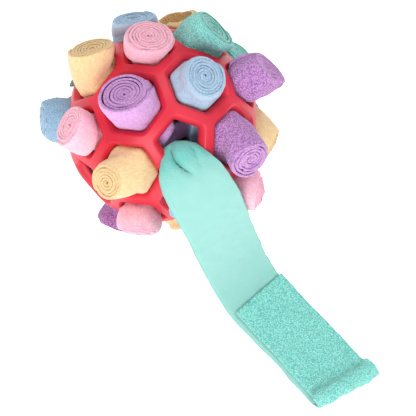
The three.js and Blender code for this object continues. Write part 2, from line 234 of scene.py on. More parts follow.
# The direction of the hole, how far the roll's end stands from the ball's centre, its radius at the
# end and half way down, the lean of the roll and the way its end faces, in degrees to the east and
# north: all within a few millimetres of the frame's solids. Then whether the nubby side is out, how
# far the core is sunk (below 0 it stands proud, and the end is domed), how loosely it is wound, and
# where the last turn tucks in, as the middle of that stretch, in degrees around the roll from east
# through north.
ROLL_COLUMNS = ("azimuth", "elevation", "reach", "radius", "body", "lean_east", "lean_north",
                "face_east", "face_north", "nubby", "sunk", "loose", "tuck")
ROLLS = {
    "purple_top": (-151, 68, 75, 14.8, 15.5, -0.6, 1.5, -23.5, 22, 0, 1.5, 0.9, 95),
    "purple_front": (-28, 33, 76, 12.3, 14.5, -8.2, -1.5, -28, -6.5, 1, -0.8, 0.5, 290),
    "blue_top": (8, 69, 73, 12.6, 13.5, -2.8, 1.5, -7.3, -8.5, 0, 0.8, 0.3, 330),
    "blue_under_strip": (-71, 17, 65, 14.4, 14.4, -3, -2, 0, 0, 0, 0.5, 0.2, 280),
    "pink_top": (109, 62, 73, 14.1, 14.5, -0.8, 5.4, -13, 8, 0, -1.5, 0.3, 248),
    "pink_left": (-159, 31, 72, 11.8, 14, -2.5, 3.4, -22, 11, 0, 0.8, 0.1, 255),
    "pink_low": (-103, -4, 70, 12.4, 13.6, 1.2, 2.7, 7.4, -10, 0, -5, 0.1, 260),
    "pink_right": (-39, -3, 73, 11.9, 13.5, 1.4, 2.6, 26, 3, 0, -6, 0.1, 290),
    "yellow_front": (-114, 32, 74, 10.2, 14, -5.9, -1, -16.1, 14.9, 0, -1.5, 0.1, 262),
    "yellow_left": (156, 38, 75, 12.9, 13, -4.7, 10.9, -30, 19.1, 0, 1, 0.3, 255),
    "purple_right": (17, 32, 78, 12.7, 14, 1.9, -4, 14.8, 5.2, 1, 0.8, 0.3, 30),
    "purple_right_low": (21, -31, 73, 12.4, 13, 2, 0, 6, 2, 1, 0.8, 0.2, 290),
    "mint_back": (62, 38, 74, 13.2, 15.6, -7, 8, -23.6, 3.2, 1, 1.5, 0.5, 280),
    "mint_right": (40, 2, 70, 9.2, 13.5, 8.2, 4.6, 8.8, 43.4, 1, 1, 0.5, 290),
    "mint_left": (141, 3, 62, 12.5, 13.5, 6, 5, 5, 8, 0, 0.6, 0.2, 250),
    "mint_left_low": (-163, -32, 61, 12.5, 13, -2, 2, -4, 6, 0, 0.6, 0.2, 250),
    "blue_back": (109, 25, 70.5, 13, 14.5, 0.3, 15, -5.7, 21.8, 0, 1, 0.3, 260),
    "blue_back_low": (109, -17, 72, 13.6, 14.5, 0, 0, 8, 0, 1, 1, 0.3, 250),
    "blue_left": (178, 1, 75, 11.8, 14.5, -2.5, -5.2, 11.6, 6.1, 1, -3.5, 0.2, 240),
    "blue_left_low": (152, -33, 72, 13, 14, 3, 0, 6, 5, 1, 0.8, 0.3, 240),
    "yellow_back": (77, 4, 73, 13.3, 14, 5.9, 4.7, 24.5, 44, 0, 1.5, 0.6, 270),
    "yellow_back_low": (66, -32, 72, 13, 14, -2, 0, -6, 5, 1, 0.8, 0.3, 290),
    "purple_low": (-140, -2, 49.5, 13.6, 13.6, 0, 0, 0, 0, 0, 0.5, 0.2, 250),
    "purple_low_left": (-118, -38, 69.5, 10.8, 13.6, -2, 8, 5, 4, 1, -4, 0.2, 260),
    "yellow_low": (-71, -25, 63.5, 13.2, 13.8, 0, 2, 3, -2, 0, 0.8, 0.2, 280),
    "yellow_base_front": (-71, -62, 73, 12.5, 12.5, 0, 0, 0, -28, 0, 0.3, 0.2, 290),
    "yellow_side": (-2, -1, 70.5, 10.6, 14, -5, -7, -25, -2, 0, -2, 0.2, 300),
    "yellow_side_low": (-24, -38, 71, 13, 14, 2, 1, 5, 4, 1, 0.8, 0.3, 290),
    "pink_base_left": (-172, -69, 69, 14.5, 14.5, 0, 0, 0, -21, 0, 0.3, 0.2, 180),
    "pink_base_right": (29, -68, 69.5, 14.5, 14.5, 0, 0, 0, -22, 0, 0.3, 0.2, 30),
    "mint_base_back": (109, -54, 73, 12.5, 12.5, 0, 0, 0, -30, 0, 0.3, 0.2, 110),
}

# The rolls wound around an open core, and its radius. The others start at CORE.
OPEN_CORES = {"yellow_back": 10.8, "purple_low": 9.5, "yellow_low": 5.0, "mint_left_low": 5.5}
CORE = 0.4

# How much a roll swells out between its end and its hole, as a share of its radius.
PLUMP = {"yellow_left": 0.13, "mint_back": 0.12}
USUAL_PLUMP = 0.05

# How far from the ball's centre a roll enters its hole, at its neck. Two that lean far over enter
# deeper, and one that is pushed in keeps LEAST_FREE between its end and its neck.
NECKS = {"yellow_left": 56.5, "mint_back": 58}
USUAL_NECK = 60.0
LEAST_FREE = 3.0

# Further in, a roll is squeezed by the lips between two distances from the centre, is a bundle
# inside the hollow and then ends. One that is pushed in ends deeper, as it is no shorter than
# SHORTEST.
LIPS_FROM, LIPS_TO = 52.0, 55.6
BUNDLE_AT = 46.5
ENDS_AT = 36.0
SHORTEST = 33.0

# The room from a hole's axis to the middle of a lip, and a roll's radius in the hollow, for a
# five-sided and a six-sided hole.
LIP = {5: 10.4, 6: 15.1}
INNER = {5: 9.6, 6: 11.0}
INMOST = 6.0  # the radius at a roll's inner end
LIP_SLACK = 1.3  # a roll this much slimmer than its hole still fills it
CORNER = 1.09  # it fills the hole's corners up to this share of LIP
BULGE = 3.0  # near its neck, a roll may stand this far past the room that the ribs leave

# The cloth.
STRIP_WIDTH = 41.0
FLEECE = 2.0  # its thickness
WOUND = 1.8  # and where it is wound up tightly
ROLLED_POINTS = 18  # points across a rolled strip
CROWDED = 1.15  # they lie closer together towards the outer edge
CUT_ROUND = 0.45  # how far the cut edge bulges, as a share of half the thickness
NUBS, TUFTS = 0.26, 0.13  # height of the nubs, and of the smooth side's tufts on a roll

# The winding.
SPREAD, SPREAD_MORE = 1.035, 0.3  # the cut edges splay out a little at a roll's end
SPIRAL_STEPS, MOST_TURNS = 72, 14  # steps in a turn of the spiral
SLACK_PLACES, SLACK_EVERY = 60, 20  # where the turns' slack is drawn, and the steps between
LEAST_SLACK, FIRST_SLACK = 0.03, 0.12  # between two turns, and in the first one
TUCK = math.radians(80)  # the stretch over which the last turn dips into the hole
STEP = 1.3  # the length of cloth between two sections of a roll
WIDEST_STEP = math.radians(24)  # and the most that it turns between them

# A roll's end.
WAVER, WAVER_PLACES = 0.35, 26  # how far the wound edge rises and falls, and at how many places
RAGGED = 0.12  # how ragged the cut is
DOME = 0.96  # how nearly a domed end is half a ball
DOME_LEVEL = 0.3  # the share of the dome's height up to which it is sunk into the roll
CURL, CURL_DEPTH = 0.05, 2.0  # the edge curls in by this share of its radius, over this depth
LOBES = ((2, 0.025), (3, 0.015))  # a roll isn't quite round: lobes and their share of its radius


def catmull(points, stations):
    """A smooth curve through points, as so many points a nearly even distance apart."""
    p = np.vstack([2 * points[0] - points[1], points, 2 * points[-1] - points[-2]])
    t = np.linspace(0, len(points) - 1 - 1e-9, 40 * len(points))
    i = t.astype(int)
    f = (t - i)[:, None]
    a, b, c, d = p[i], p[i + 1], p[i + 2], p[i + 3]
    dense = 0.5 * (2 * b + (c - a) * f + (2 * a - 5 * b + 4 * c - d) * f**2
                   + (3 * b - a - 3 * c + d) * f**3)
    along = np.concatenate([[0], np.cumsum(np.linalg.norm(np.diff(dense, axis=0), axis=1))])
    even = np.linspace(0, along[-1], stations)
    return np.stack([np.interp(even, along, dense[:, k]) for k in range(dense.shape[1])], 1)


def section(across_points, half):
    """The strip's section as (place across its width, offset through its thickness) pairs, from
    its outer edge along the first side and back along the second, with rounded edges."""
    share = np.linspace(0, 1, across_points) ** CROWDED
    side = [(w, half) for w in share]
    back = [(w, -half) for w in share[::-1]]
    cut_edge = [(-CUT_ROUND * half * math.sin(a) ** 0.8 / STRIP_WIDTH, -half * math.cos(a))
                for a in np.radians([20, 52, 90, 128, 160])]
    return np.array(side + [(1 + half / STRIP_WIDTH, 0)] + back + cut_edge)


def spiral(radius, core, loose, rng):
    """How far the cloth's middle is from a roll's axis, against the angle from its core to its
    tail. Each turn is at least the cloth's thickness further out than the one below it."""
    turn = SPIRAL_STEPS
    drawn = rng.random(SLACK_PLACES) ** 2
    places = np.arange(SLACK_PLACES) * SLACK_EVERY
    slack = LEAST_SLACK + loose * np.interp(np.arange(MOST_TURNS * turn), places, drawn)
    at = core + (WOUND + FIRST_SLACK) * np.arange(turn + 1) / turn
    while at[-turn:].mean() < radius - WOUND / 2:
        at = np.append(at, at[-turn] + WOUND + slack[len(at)] * 1.6 * (at[-1] / radius) ** 1.5)
    return np.arange(len(at)) * 2 * math.pi / turn, at


def wound(name, turn, first_side_out, across_points, rng):
    """Rings of points from a roll's core to the tail that leaves it inside the hollow. The cloth
    turns one way around the axis or the other, with its first or its second side out."""
    roll = dict(zip(ROLL_COLUMNS, ROLLS[name]))
    axis, sides, corner = hole_at(roll["azimuth"], roll["elevation"])
    end = lean(axis, roll["azimuth"], roll["lean_east"], roll["lean_north"]) * roll["reach"]
    face = lean(axis, roll["azimuth"], roll["face_east"], roll["face_north"])
    neck_at = min(NECKS.get(name, USUAL_NECK), roll["reach"] - LEAST_FREE)
    ends_at = min(ENDS_AT, roll["reach"] - SHORTEST)
    east = direction(roll["azimuth"] + 90, 0)
    radius, half = roll["radius"] * SPREAD + SPREAD_MORE, WOUND / 2
    turned, radii = spiral(radius, OPEN_CORES.get(name, CORE), roll["loose"], rng)

    # Sections evenly spaced along the cloth, but never too far apart around the core.
    stride = np.minimum(STEP / radii, WIDEST_STEP)
    count = np.concatenate([[0], np.cumsum(np.diff(turned) / stride[:-1])])
    angle = np.interp(np.linspace(0, count[-1], int(count[-1])), count, turned)
    at = np.interp(angle, turned, radii)
    left = angle[-1] - angle  # how far the cloth still is from its tail
    phi = math.radians(roll["tuck"]) + turn * (TUCK / 2 - left)

    # The outermost turn at the same place around the roll: where the last turn has tucked in,
    # that is the one below it.
    behind = np.mod(left, 2 * math.pi)
    tucks = ease(behind / TUCK)
    outer = half + tucks * np.interp(angle[-1] - behind, turned, radii)
    outer += (1 - tucks) * np.interp(angle[-1] - behind - 2 * math.pi, turned, radii)
    outer = outer[:, None]

    def frame_of(facing):
        """East and north around a direction, and the way from it to each section."""
        u = unit(east - facing * (east @ facing))
        v = np.cross(facing, u)
        return u, v, u * np.cos(phi)[:, None] + v * np.sin(phi)[:, None]

    # How far the lips let it stand out, all around the hole's axis.
    base_u, base_v, sideways = frame_of(axis)
    pie = 2 * math.pi / sides
    edge = np.mod(phi - math.atan2(corner @ base_v, corner @ base_u), pie) - pie / 2
    fill = min(1, roll["body"] / (LIP[sides] - LIP_SLACK))
    lip = (LIP[sides] * fill * np.minimum(1 / np.cos(edge), CORNER))[:, None]

    def room(distance):
        """The room for the roll at a distance from the ball's centre: a bundle in the hollow, then
        the shape of the hole, and round and full outside the ball."""
        bundle = ease((distance - ends_at) / (BUNDLE_AT - ends_at))
        wide = INMOST + (INNER[sides] - INMOST) * bundle
        wide = wide + (lip - wide) * ease((distance - BUNDLE_AT) / (LIPS_FROM - BUNDLE_AT))
        full = outer * roll["body"] / radius
        return wide + (full - wide) * ease((distance - LIPS_TO) / (USUAL_NECK - LIPS_TO))

    # Across the cloth, from its outer edge, which tucks in at the tail, to its inner one: straight
    # from the end to the neck, and then along the hole's axis.
    cut = section(across_points, half)
    bumps = smooth_noise(rng, (len(angle), len(cut)))
    through = cut[:, 1] * (1 if first_side_out else -1)

    # Nubs or tufts on the side that faces out. Where the turns are tight they sink into the next.
    nubs = (NUBS if roll["nubby"] else TUFTS) * bumps
    from_axis = at[:, None] + through + np.where(through > 0, nubs, 0)
    end_out = frame_of(face)[2][:, None]
    tip = end + end_out * from_axis[..., None]
    neck = axis * neck_at + sideways[:, None] * (from_axis * room(neck_at) / outer)[..., None]
    free_length = np.linalg.norm(neck - tip, axis=-1)
    total = free_length + neck_at - ends_at
    places = np.linspace(0, angle[-1], WAVER_PLACES)
    waver = np.interp(angle, places, rng.normal(size=WAVER_PLACES))
    outward = np.clip(at / radius, 0, 1)
    if roll["sunk"] < 0:
        rim = -roll["sunk"] * (DOME_LEVEL - np.sqrt(1 - DOME * outward**2))
    else:
        rim = roll["sunk"] * (1 - outward)
    rim = rim + WAVER * waver
    dip = ease(1 - left / TUCK)
    rim = (rim * (1 - dip) + (neck_at - ends_at) * dip)[:, None] + half
    deep = rim + np.clip(cut[:, 0], 0, 1) * (total - rim)
    ragged = np.where(cut[:, 0] <= 0, RAGGED * bumps, 0)
    deep += np.minimum(cut[:, 0], 0) * STRIP_WIDTH + ragged

    share = np.clip(deep / free_length, 0, 1)
    rings = tip + (neck - tip) * share[..., None] + face * np.maximum(-deep, 0)[..., None]
    wobble = sum(depth * np.cos(count * phi + rng.uniform(0, 6.28)) for count, depth in LOBES)
    curl = CURL * np.exp(-np.maximum(deep, 0) / CURL_DEPTH)
    puff = PLUMP.get(name, USUAL_PLUMP) * np.sin(share * math.pi)
    loosened = (wobble[:, None] - curl) * (1 - share) + puff
    rings += end_out * (from_axis * loosened)[..., None]
    distance = neck_at - np.maximum(deep - free_length, 0)
    widest = room(distance)
    near_neck = ease((distance - (USUAL_NECK - BULGE)) / BULGE)
    beside = np.minimum(from_axis * widest / outer, widest + BULGE * near_neck)
    held = axis * distance[..., None] + sideways[:, None] * beside[..., None]
    rings = np.where((deep > free_length)[..., None], held, rings)
    rings[..., 2] = np.maximum(rings[..., 2], LOWEST)
    nubby_first = roll["nubby"] if first_side_out else 1 - roll["nubby"]
    inner_end = axis * (ends_at - 1)
    return {"rings": rings, "nubby_first": nubby_first, "axis": axis, "inner_end": inner_end}


# ---- The bands between the rolls -----------------------------------------------------------------

BAND_HALF, BAND_THICK = 5.2, 2.7  # half the width and half the thickness of a gathered strip
GATHERED_FLEECE = 1.3  # the cloth is squeezed where it is gathered
FOLD = 0.04  # half the share of the cloth's width over which it turns back at a fold
BAND_RINGS = 30
BRIDGE_RINGS, LOOSE_BRIDGE_RINGS = 8, 14  # between a roll and its band, or the loose strip


def gathered(across_points):
    """A section folded into three layers, as (across, up) pairs in the order of section()."""
    def zigzag(w):
        across = np.abs(np.mod(w * 3, 2) - 1) * 2 - 1
        return np.stack([across * BAND_HALF, (w - 0.5) * 2 * BAND_THICK], 1)

    cut = section(across_points, GATHERED_FLEECE / 2)
    w = np.clip(cut[:, 0], 0, 1)
    slope = unit(zigzag(np.clip(w + FOLD, 0, 1)) - zigzag(np.clip(w - FOLD, 0, 1)))
    normal = np.stack([slope[:, 1], -slope[:, 0]], 1)
    return zigzag(w) + normal * cut[:, 1:]


def band(route, headings, across, shape):
    """Rings of a gathered section along a route."""
    side = unit(across - headings * (headings * across).sum(axis=1)[:, None])
    up = np.cross(headings, side)
    return route[:, None] + side[:, None] * shape[None, :, :1] + up[:, None] * shape[None, :, 1:]


def bridged(rings, first, count=BRIDGE_RINGS):
    """Rings that turn the last ring of one stretch into the first ring of the next."""
    share = ease(np.linspace(0, 1, count + 2)[1:-1])[:, None, None]
    return rings[-1] * (1 - share) + first * share


# Each strip with both ends rolled: its two rolls, how far from the centre its middle passes and
# how far it is pushed aside there.
STRIPS = {
    "purple_1": ("purple_top", "purple_front", 20, 2),
    "purple_2": ("purple_right", "purple_right_low", 31, 0),
    "purple_3": ("purple_low", "purple_low_left", 33, 0),
    "blue_1": ("blue_top", "blue_under_strip", 36, 5),
    "blue_2": ("blue_back", "blue_back_low", 33, 0),
    "blue_3": ("blue_left", "blue_left_low", 33, 0),
    "pink_1": ("pink_top", "pink_left", 36, 0),
    "pink_2": ("pink_low", "pink_right", 33, 0),
    "pink_3": ("pink_base_left", "pink_base_right", 33, 0),
    "yellow_1": ("yellow_front", "yellow_left", 20, 0),
    "yellow_2": ("yellow_back", "yellow_back_low", 33, 0),
    "yellow_3": ("yellow_low", "yellow_base_front", 33, 0),
    "yellow_4": ("yellow_side", "yellow_side_low", 33, 0),
    "mint_1": ("mint_back", "mint_right", 33, 0),
    "mint_2": ("mint_left", "mint_left_low", 22, 0),
}
BOW = 1.2  # a band's middle is this much nearer the centre than the places beside it

# The points that a strip passes instead, where it shows in the mouth.
BY_WAY_OF = {"purple_1": [(1, -18.3, 42.5), (-1, -23.8, 41), (-4.5, -28, 36), (-3, -24.5, 29),
                          (5, -16, 24), (14, -10.5, 19)]}

# How rough each part of the cloth is, where the smooth side is 0: that side where it is ruffled by
# rolling it up, crumpled in the mouth with painted shade, the cut edges and the nubby side.
RUFFLED, CRUMPLED_AND_SHADED, CUT, NUBBY = 0.25, 0.4, 0.5, 1.0

# In the pattern of the streaks, places across the cloth are closer than they are, so that the
# streaks run across it, and its sides are far apart, so that each has its own.
STREAKED, SIDES_APART = 0.45, 20


def side_values(across_points, around, nubby_first, smooth_side):
    """How rough each point of a section is."""
    values = np.full(around, CUT)
    values[:across_points] = NUBBY if nubby_first else smooth_side
    values[across_points + 1:2 * across_points + 1] = smooth_side if nubby_first else NUBBY
    return values


def finish_strip(name, rings, pile, across_points):
    """Makes a strip's mesh from its rings, hides the frame's strip and hangs the mesh on the root."""
    steps = np.linalg.norm(np.diff(rings[:, :across_points], axis=0), axis=2)

    # Places on the cloth, along it and across it.
    along = np.concatenate([[0], np.cumsum(steps.mean(axis=1))])
    across = section(across_points, FLEECE / 2)[:, 0] * STRIP_WIDTH * STREAKED
    weave = np.stack(np.broadcast_arrays(along[:, None], across, SIDES_APART * pile), -1)
    piece = mesh_piece("fleece_" + name, rings, pile, weave)
    if signed_volume(piece.data) < 0:
        piece.data.flip_normals()
    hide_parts("strip_" + name)
    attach(piece, "root")
    return piece


def rolled_strip(name):
    """A strip with both ends rolled. Its nubby side is the same one all along, so the second roll
    is wound the way that brings the right side out."""
    first, second, middle_at, aside = STRIPS[name]
    rng = np.random.default_rng(sum(map(ord, name)) * 7)
    nubby = [ROLLS[r][ROLL_COLUMNS.index("nubby")] for r in (first, second)]
    second_out = nubby[0] == nubby[1]
    one = wound(first, 1, True, ROLLED_POINTS, rng)
    two = wound(second, -1 if second_out else 1, second_out, ROLLED_POINTS, rng)
    a, b = one["axis"], two["axis"]
    across = unit(np.cross(a, b))
    middle, along = unit(a + b), unit(b - a)
    arc = middle_at * math.acos(float(a @ b)) * 0.25  # a quarter of the way round between them
    way = [middle * (middle_at + BOW * abs(k)) + along * k * arc + across * aside
           for k in (-1, 0, 1)]
    way = BY_WAY_OF.get(name, way)
    route = catmull(np.array([one["inner_end"], *way, two["inner_end"]]), BAND_RINGS)
    headings = unit(np.gradient(route, axis=0))
    if name in BY_WAY_OF:
        across = np.cross(unit(route), headings)
    middle_rings = band(route, headings, across, gathered(ROLLED_POINTS))
    tail = two["rings"][::-1]
    rings = np.concatenate([one["rings"], bridged(one["rings"], middle_rings[0]), middle_rings,
                            bridged(middle_rings, tail[0]), tail])
    sides = side_values(ROLLED_POINTS, rings.shape[1], one["nubby_first"], RUFFLED)
    pile = np.tile(sides, (len(rings), 1))
    return finish_strip(name, rings, pile, ROLLED_POINTS)


# ---- The loose strip -----------------------------------------------------------------------------

# The x, y and z of its middle, from inside the mouth down to the ground and measured from the
# ground below the ball's centre, with the way it heads, half its width, how its middle is crowned,
# and how much of it is still folded up.
LOOSE_END = [
    (0.5, -4, 56, -71, 5.2, 0, 1),
    (5, -18, 72, -71, 5.2, 0, 1),
    (7.6, -26.4, 88, -71, 5.6, 0, 1),
    (8.2, -30.6, 98, -69.5, 6.8, 4, 0.6),
    (9.4, -33, 103.6, -67.5, 9, 5.5, 0.2),
    (10.9, -39, 106, -65.5, 12.5, 5, 0),
    (13.6, -46, 105.6, -63.5, 16.6, 3.6, 0),
    (18, -52.8, 101.9, -60.8, 19.2, 2.2, 0),
    (23.2, -59.2, 94.7, -57.8, 20.3, 1.2, 0),
    (28.5, -63.8, 84, -54.8, 20.5, 0.5, 0),
    (33.1, -68.1, 69, -52.8, 20.5, 0.3, 0),
    (38.1, -72.1, 52, -50.8, 20.5, 0.1, 0),
    (43.8, -76.5, 34, -49.4, 20.5, 0, 0),
    (49.4, -81.3, 18, -48.4, 20.5, 0, 0),
    (54.7, -86.4, 7.5, -48.4, 20.5, 0, 0),
]

# Where it lies: how far along from the touchdown point, the height of the middle of the cloth,
# half its width, its shift to the left of its heading and how far its left edge runs ahead.
TOUCHDOWN = (59.2, -90.6, -48.4)  # x, y and heading
LAID_END = [
    (0, 2.4, 20.5, 0, 0),
    (8, 1.1, 20.5, 0, 0),
    (45, 1.1, 20.5, 0, 0),
    (69, 1.1, 20.8, 0, 1.8),
    (78, 1.1, 21, 0, 3.6),
    (83.4, 2.4, 21, 0, 5),
    (86, 6.2, 21.2, 0, 5.5),
    (85.2, 10.4, 21.4, 0, 5.3),
    (82, 13, 21.4, 0.1, 5),
    (78.6, 12.8, 21, 0.2, 4.6),
    (77.2, 10.2, 20.4, 0.3, 4.2),
    (75.6, 6.9, 19.9, 0.5, 3.8),
    (71.5, 5, 19.7, 0.7, 3),
    (65, 4, 19.6, 1, 1.8),
    (58, 3.7, 19.6, 1.2, 0.8),
    (45, 3.7, 19.5, 1.4, 0),
    (20, 3.7, 19.5, 1.7, 0),
    (8, 3.8, 19.5, 1.9, 0),
    (1, 5, 19.5, 2, 0),
]
LOOSE_ROLL = "mint_base_back"  # its other end
LOOSE_POINTS = 33  # points across the loose strip
LOOSE_STEP = 1.2  # the length of cloth between its sections
STRAY, STRAY_PLACES = 0.25, 40  # how far its edges wander, and at how many places
CORNER_BACK = 0.45  # the left corner is held back by this share of its lead
LOOSE_TUFTS = 0.04  # height of the smooth side's tufts where it isn't rolled
SWELL = 0.15  # depth of the soft dents on both sides

# The cloth is crumpled and given painted shade from the mouth up to this far past the top of its
# arch, and both fade over this length.
SHADED_TO, SHADE_FADE = 22, 26

# Creases where the cloth leaves the mouth: where each starts and ends, as the distance from the
# top of the strip's arch and the place across it, then its depth and width.
CREASES = [
    ((-9, -0.69), (11, 0.06), 5.0, 2.8),
    ((-8, 0.58), (8, 0.36), 1.3, 5.0),
]
LOPSIDED = 0.4  # one side of a crease is deeper by this share, and the other shallower


def loose_strip():
    """The strip with one rolled end, which comes out of the mouth and lies folded on the ground."""
    rng = np.random.default_rng(31)
    roll = wound(LOOSE_ROLL, 1, True, LOOSE_POINTS, rng)
    x0, y0, heading = TOUCHDOWN
    ahead, left = direction(heading, 0), direction(heading + 90, 0)
    rows = [row + (0,) for row in LOOSE_END]
    for along, z, half, shift, lead in LAID_END:
        x, y, _ = np.array([x0, y0, 0]) + ahead * along + left * shift
        rows.append((x, y, z, heading, half, 0, 0, lead))
    rows = np.array(rows, float)
    rows[:, 2] += GROUND

    # A smooth run through the rows, evenly spaced along the cloth.
    steps = np.linalg.norm(np.diff(rows[:, :3], axis=0), axis=1)
    run = catmull(rows, int(steps.sum() / LOOSE_STEP))
    spot = run[:, :3]
    headings, halves, crowns, folds, leads = run[:, 3:].T
    gaps = np.linalg.norm(np.diff(spot, axis=0), axis=1)
    along = np.concatenate([[0], np.cumsum(gaps)])
    top = along[int(np.argmax(spot[:, 2]))]
    facing = unit(np.gradient(spot, axis=0))
    turn = np.radians(headings + 90)
    across = np.stack([np.cos(turn), np.sin(turn), np.zeros(len(run))], 1)
    up = unit(np.cross(facing, across))
    ahead_of = np.stack([across[:, 1], -across[:, 0], np.zeros(len(run))], 1)

    # Across the cloth: folded up in the hollow, then opening out with the creases of the mouth.
    cut = section(LOOSE_POINTS, FLEECE / 2)
    w = np.clip(cut[:, 0], 0, 1)
    share = 1 - 2 * w
    places = np.linspace(0, along[-1], STRAY_PLACES)
    left_stray = np.interp(along, places, rng.normal(size=STRAY_PLACES)) * STRAY
    right_stray = np.interp(along, places, rng.normal(size=STRAY_PLACES)) * STRAY
    swell = smooth_noise(rng, (len(run), len(cut)), passes=6)
    folded_shape = gathered(LOOSE_POINTS)
    rings = []
    for n, (half, crown, folded, lead) in enumerate(zip(halves, crowns, folds, leads)):
        stray = np.where(share > 0, left_stray[n], right_stray[n])
        x = half * share + stray * np.abs(share) * (1 - folded)
        y = crown * (1 - share**2)
        for (u0, s0), (u1, s1), depth, width in CREASES:
            start, end = np.array([u0, s0 * half]), np.array([u1, s1 * half])
            here = np.stack([np.full_like(x, along[n] - top), x], 1)
            line = end - start
            t = np.clip(((here - start) @ line) / (line @ line), 0, 1)
            away = here - start - t[:, None] * line
            beside = np.cross(line, away) / np.linalg.norm(line)
            fade = np.sin(t * math.pi) ** 0.7
            gap = np.linalg.norm(away, axis=1)
            dent = depth * fade * np.exp(-(gap / width) ** 2 * 3)
            y -= dent * (1 + LOPSIDED * np.sign(beside))
        slope = np.gradient(y[:LOOSE_POINTS]) / np.gradient(x[:LOOSE_POINTS])
        slope = np.interp(w, w[:LOOSE_POINTS], slope)
        tilt = np.stack([-slope, np.ones_like(slope)], 1) / np.sqrt(1 + slope**2)[:, None]
        flat = np.stack([x, y], 1) + tilt * cut[:, 1:]
        flat[:, 0] -= np.minimum(cut[:, 0], 0) * STRIP_WIDTH
        flat[LOOSE_POINTS] = (x[LOOSE_POINTS] - FLEECE / 2, y[LOOSE_POINTS])
        shape = flat * (1 - folded) + folded_shape * (half / BAND_HALF) * folded
        leading = lead * (share - CORNER_BACK * np.clip(share, 0, 1) ** 6)
        rings.append(spot[n] + across[n] * shape[:, :1] + up[n] * shape[:, 1:]
                     + ahead_of[n] * leading[:, None])
    rings = np.array(rings)

    # Nubs on the rough side, soft dents on both, and nothing below the ground.
    bumps = smooth_noise(rng, rings.shape[:2])
    is_rough = np.zeros(len(cut), bool)
    is_rough[LOOSE_POINTS:] = True
    height = np.where(is_rough, NUBS, LOOSE_TUFTS) * bumps + SWELL * swell
    sign = np.where(is_rough, -1, 1)
    rings += up[:, None] * (height * sign)[..., None]
    rings[..., 2] = np.maximum(rings[..., 2], LOWEST)
    bridge = bridged(roll["rings"], rings[0], LOOSE_BRIDGE_RINGS)
    body = np.concatenate([roll["rings"], bridge, rings])

    # How rough its smooth side is: as on any roll, and then most in the mouth, with painted shade
    # there.
    roughness_and_shade = np.full(len(body), RUFFLED)
    roughness_and_shade[-len(rings):] = CRUMPLED_AND_SHADED * ease((SHADED_TO - (along - top)) / SHADE_FADE)
    pile = np.array([side_values(LOOSE_POINTS, body.shape[1], 0, r) for r in roughness_and_shade])
    return finish_strip("mint_3", body, pile, LOOSE_POINTS)


# ---- Finishes ------------------------------------------------------------------------------------

class Tone:
    """A socket of a finish, so that sums on it add its Math nodes."""

    def __init__(self, finish, socket):
        self.finish, self.socket = finish, socket

    def maths(self, operation, *values):
        return self.finish.add("ShaderNodeMath", {"operation": operation}, values)

    def __add__(self, other):
        return self.maths("ADD", self, other)

    def __sub__(self, other):
        return self.maths("SUBTRACT", self, other)

    def __mul__(self, other):
        return self.maths("MULTIPLY", self, other)

    def __rsub__(self, other):
        return self.maths("SUBTRACT", other, self)

    __radd__, __rmul__ = __add__, __mul__

    def held(self, low, high):
        """0 at low, 1 at high and smooth between them."""
        kind = {"interpolation_type": "SMOOTHSTEP"}
        values = {"Value": self, "From Min": low, "From Max": high}
        return self.finish.add("ShaderNodeMapRange", kind, values)


class Finish:
    """A material with a Principled shader, whose nodes all come from add()."""

    def __init__(self, name, **settings):
        self.material = bpy.data.materials.new(name)
        self.material.use_nodes = True
        self.tree = self.material.node_tree
        self.shader = self.tree.nodes["Principled BSDF"]
        self.set(self.shader, {k.replace("_", " "): v for k, v in settings.items()})
        self.place = self.add("ShaderNodeTexCoord", {}, {}, "Object")

    def set(self, node, values):
        pairs = values.items() if isinstance(values, dict) else enumerate(values)
        for key, value in pairs:
            socket = node.inputs[key]
            if isinstance(value, Tone):
                self.tree.links.new(value.socket, socket)
            else:
                socket.default_value = value

    def add(self, kind, settings, values, output=0):
        node = self.tree.nodes.new(kind)
        for key, value in settings.items():
            setattr(node, key, value)
        self.set(node, values)
        return Tone(self, node.outputs[output])

    def noise(self, scale, detail=2.0, roughness=0.5, place=None):
        values = {"Vector": place or self.place, "Scale": scale, "Detail": detail,
                  "Roughness": roughness}
        return self.add("ShaderNodeTexNoise", {}, values, "Fac")

    def cells(self, scale):
        values = {"Vector": self.place, "Scale": scale, "Smoothness": 0.3, "Randomness": 1.0}
        return self.add("ShaderNodeTexVoronoi", {"feature": "SMOOTH_F1"}, values, "Distance")

    def mixed(self, factor, first, second):
        """A colour between two others."""
        values = {0: factor, 6: first, 7: second}
        return self.add("ShaderNodeMix", {"data_type": "RGBA"}, values, 2)

    def relief(self, height, depth):
        """Bumps of a height from 0 to 1, so many millimetres deep."""
        node = {"Height": height, "Distance": depth * MM, "Strength": 1.0}
        self.set(self.shader, {"Normal": self.add("ShaderNodeBump", {}, node)})


def colour(hexa):
    """The linear colour that a screen shows as these red, green and blue values."""
    channels = [int(hexa[i:i + 2], 16) / 255 for i in (0, 2, 4)]
    return tuple(c / 12.92 if c <= 0.04045 else ((c + 0.055) / 1.055) ** 2.4
                 for c in channels) + (1,)


